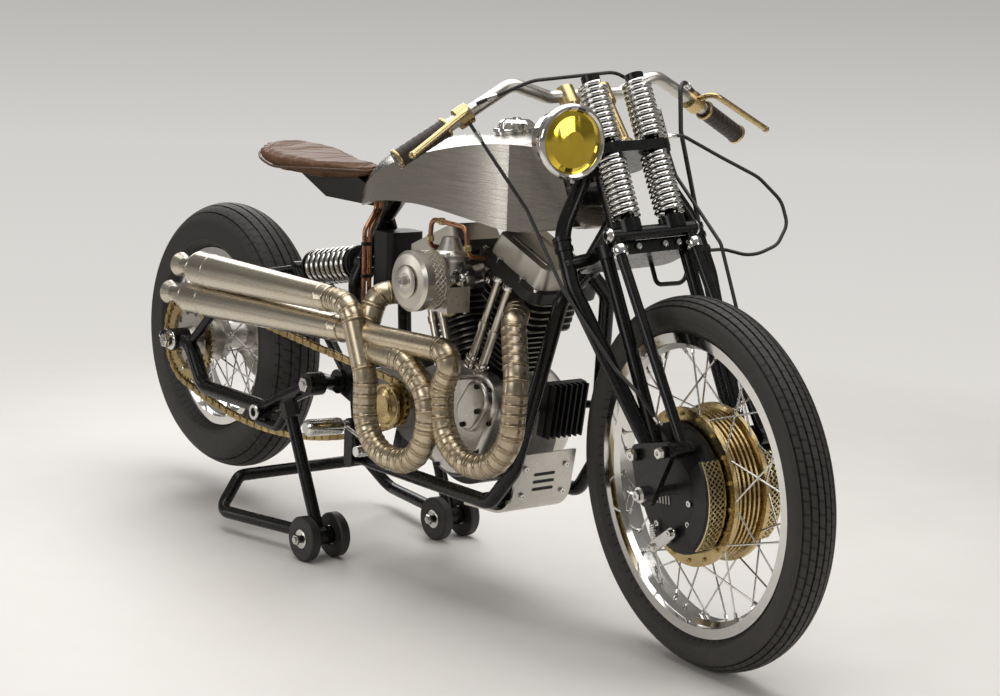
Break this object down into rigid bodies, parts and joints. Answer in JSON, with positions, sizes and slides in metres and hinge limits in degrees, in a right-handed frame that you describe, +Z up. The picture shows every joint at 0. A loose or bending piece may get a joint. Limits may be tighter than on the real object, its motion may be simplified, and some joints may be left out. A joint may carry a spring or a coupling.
{
  "type": "motorcycle",
  "caption": "Custom V-twin motorcycle with springer fork, brass drum brake and snaking pipes, parked on a paddock stand.",
  "frame": {"origin": "floor level, below the middle of the bounding box", "axes": "+X forward, +Y to the left of the machine, +Z up"},
  "size_m": [2.3534, 0.8212, 1.0938],
  "materials": {
    "black_paint": "gloss black paint",
    "bare_steel": "brushed bare steel under clear lacquer",
    "nickel": "satin nickel",
    "chrome": "polished chrome",
    "alu": "satin aluminium",
    "brass": "satin brass",
    "copper": "bare copper",
    "titanium": "heat-tinted pie-cut pipe",
    "iron": "black finned castings",
    "tyre": "worn black rubber",
    "rubber": "dark rubber",
    "leather": "brown leather",
    "lens": "yellow mirrored glass"
  },
  "bodies": {
    "chassis": {"main_frame": "black_paint", "swing_arm": "black_paint", "rear_axle": "chrome", "shock": "chrome", "crankcase": "alu", "cam_cover": "alu", "primary_cover": "alu", "cylinders": "iron", "rocker_boxes": "nickel", "pushrod_tubes": "nickel", "carburettor": "alu", "air_filter": "nickel", "exhaust_pipes": "titanium", "mufflers": "titanium", "fuel_tank": "bare_steel", "filler_cap": "chrome", "seat": "leather", "seat_support": "black_paint", "oil_tank": "black_paint", "copper_lines": "copper", "regulator": "black_paint", "skid_plate": "alu", "foot_pegs": "chrome", "paddock_stand": "black_paint", "sprocket_cover": "brass", "drive_chain": "brass"},
    "steering": {"fork_legs": "black_paint", "spring_legs": "black_paint", "fork_springs": "chrome", "rockers": "chrome", "front_axle": "chrome", "brake_plates": "black_paint", "handlebar": "alu", "risers": "brass", "grips": "rubber", "levers": "brass", "headlight_shell": "chrome", "headlight_lens": "lens", "cable_splitter": "alu", "control_cables": "rubber"},
    "front_wheel": {"front_tyre": "tyre", "front_rim": "chrome", "front_spokes": "chrome", "brake_drum": "brass"},
    "rear_wheel": {"rear_tyre": "tyre", "rear_rim": "chrome", "rear_spokes": "chrome", "rear_hub": "alu", "rear_sprocket": "brass"},
    "stand_right": {"stand_wheels_right": "rubber"},
    "stand_left": {"stand_wheels_left": "rubber"}
  },
  "joints": [
    {"name": "steer", "type": "hinge", "parent": "chassis", "child": "steering", "pos_m": [0.55919, 0, 0.8338], "axis": [-0.4226, 0, 0.9063], "range_deg": [-20.6, 35.4]},
    {"name": "front_spin", "type": "hinge", "parent": "steering", "child": "front_wheel", "pos_m": [0.8277, -0.00504, 0.34986], "axis": [0.1167, 0.9917, 0.0544], "continuous": true},
    {"name": "rear_spin", "type": "hinge", "parent": "chassis", "child": "rear_wheel", "pos_m": [-0.854, 0, 0.386], "axis": [0, 1, 0], "continuous": true},
    {"name": "stand_right_spin", "type": "hinge", "parent": "chassis", "child": "stand_right", "pos_m": [-0.184, -0.178, 0.049], "axis": [0, 1, 0], "continuous": true},
    {"name": "stand_left_spin", "type": "hinge", "parent": "chassis", "child": "stand_left", "pos_m": [-0.184, 0.178, 0.049], "axis": [0, 1, 0], "continuous": true}
  ]
}
